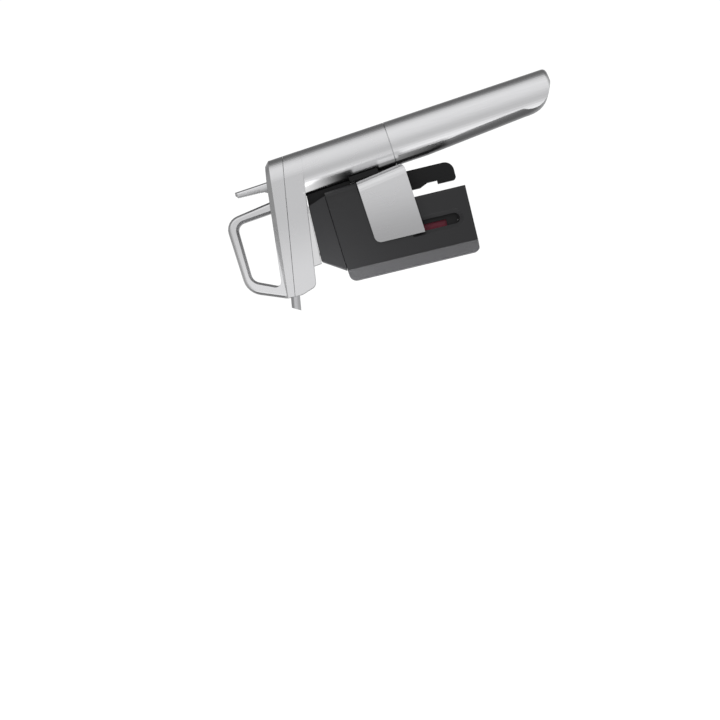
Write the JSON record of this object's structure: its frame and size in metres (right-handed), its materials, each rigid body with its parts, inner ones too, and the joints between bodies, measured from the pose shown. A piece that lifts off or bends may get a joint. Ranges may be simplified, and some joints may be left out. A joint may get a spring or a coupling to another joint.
{
  "type": "wine preservation dispenser",
  "caption": "Handheld wine dispenser: a clamp grips the bottle neck, a sliding head drives a hollow needle through the cork, and a trigger lets in gas so that wine pours from a spout",
  "frame": {"origin": "middle of the bottle's mouth, on the neck's axis, at the face of the clamp's rubber seal", "axes": "+X along the neck's axis towards the bottle, +Z from the neck towards the handle, Y across, its near side in the picture -Y"},
  "size_m": [0.2239, 0.0486, 0.1151],
  "materials": {
    "satin_metal": "cast, polished to a soft shine",
    "band_metal": "bent sheet, fine satin",
    "black_plastic": "moulded, fine matt grain",
    "steel": "turned or drawn, bright",
    "brass": "turned, bright",
    "black_rubber": "moulded, matt",
    "burgundy_rubber": "moulded, matt, deep wine red"
  },
  "bodies": {
    "clamp": {"clamp_shell_left": "black_plastic", "clamp_shell_right": "black_plastic", "shell_screw_1": "steel", "shell_screw_2": "steel", "band_left": "band_metal", "band_right": "band_metal", "nose": "black_plastic", "needle_guide": "brass", "mouth_seal": "black_rubber", "left_jaw_pin": "steel", "right_jaw_pin": "steel", "left_jaw_spring": "steel", "right_jaw_spring": "steel", "latch_spring": "steel"},
    "head": {"head_body": "satin_metal", "head_front": "satin_metal", "neck_plate": "satin_metal", "head_screw_1": "steel", "head_screw_2": "steel", "needle_hub": "brass", "needle": "steel", "hub_ring": "black_rubber", "spout": "steel", "rail": "black_plastic", "rail_base": "black_plastic", "rail_screw_1": "steel", "rail_screw_2": "steel", "trigger_pin": "steel", "valve_body": "brass", "valve_ring": "black_rubber", "valve_spring": "steel", "regulator_body": "brass", "regulator_cap": "steel", "regulator_spring": "steel", "piercing_pin": "steel", "capsule_seal": "black_rubber"},
    "trigger": {"trigger": "satin_metal"},
    "valve_stem": {"valve_stem": "steel"},
    "piston": {"regulator_piston": "brass", "piston_ring": "black_rubber"},
    "cup_ring": {"cup_ring": "black_rubber"},
    "cup": {"capsule_cup": "satin_metal", "cup_sleeve": "steel", "gas_capsule": "steel", "capsule_pad": "black_rubber"},
    "left_jaw": {"left_jaw": "black_plastic", "left_pad": "burgundy_rubber"},
    "right_jaw": {"right_jaw": "black_plastic", "right_pad": "burgundy_rubber"},
    "latch": {"rail_latch": "steel"}
  },
  "joints": [
    {"name": "head_slide", "type": "slide", "parent": "clamp", "child": "head", "axis": [-1, 0, 0], "range_m": [0, 0.047]},
    {"name": "trigger_press", "type": "hinge", "parent": "head", "child": "trigger", "pos_m": [-0.0265, 0, 0.05095], "axis": [0, -1, 0], "range_deg": [0, 7], "stiffness_Nm_per_rad": 0.6, "springref_deg": -5.73},
    {"name": "valve_press", "type": "slide", "parent": "head", "child": "valve_stem", "axis": [0, 0, -1], "range_m": [0, 0.0006], "deforming": ["valve_spring"]},
    {"name": "piston_travel", "type": "slide", "parent": "head", "child": "piston", "axis": [-0.9961, 0, -0.088], "range_m": [0, 0.0004], "stiffness_N_per_m": 1500, "springref_m": -0.0005},
    {"name": "cup_turn", "type": "hinge", "parent": "head", "child": "cup_ring", "pos_m": [0.0372, 0, 0.05868], "axis": [0.9961, 0, 0.088], "range_deg": [0, 1080]},
    {"name": "cup_travel", "type": "slide", "parent": "cup_ring", "child": "cup", "axis": [0.9961, 0, 0.088], "range_m": [0, 0.0121]},
    {"name": "left_jaw_open", "type": "hinge", "parent": "clamp", "child": "left_jaw", "pos_m": [0.0068, 0.0165, 0], "axis": [0, 0, 1], "range_deg": [0, 1.8], "stiffness_Nm_per_rad": 0.5, "springref_deg": -5.73},
    {"name": "right_jaw_open", "type": "hinge", "parent": "clamp", "child": "right_jaw", "pos_m": [0.0068, -0.0165, 0], "axis": [0, 0, -1], "range_deg": [0, 1.8], "stiffness_Nm_per_rad": 0.5, "springref_deg": -5.73},
    {"name": "latch_press", "type": "slide", "parent": "clamp", "child": "latch", "axis": [0, 0, -1], "range_m": [0, 0.001], "stiffness_N_per_m": 150, "springref_m": -0.002, "deforming": ["latch_spring"]}
  ],
  "couplings": [
    {"joint": "valve_press", "follows": "trigger_press", "m_per_rad": 0.0046},
    {"joint": "cup_travel", "follows": "cup_turn", "m_per_rad": 0.00063662}
  ]
}
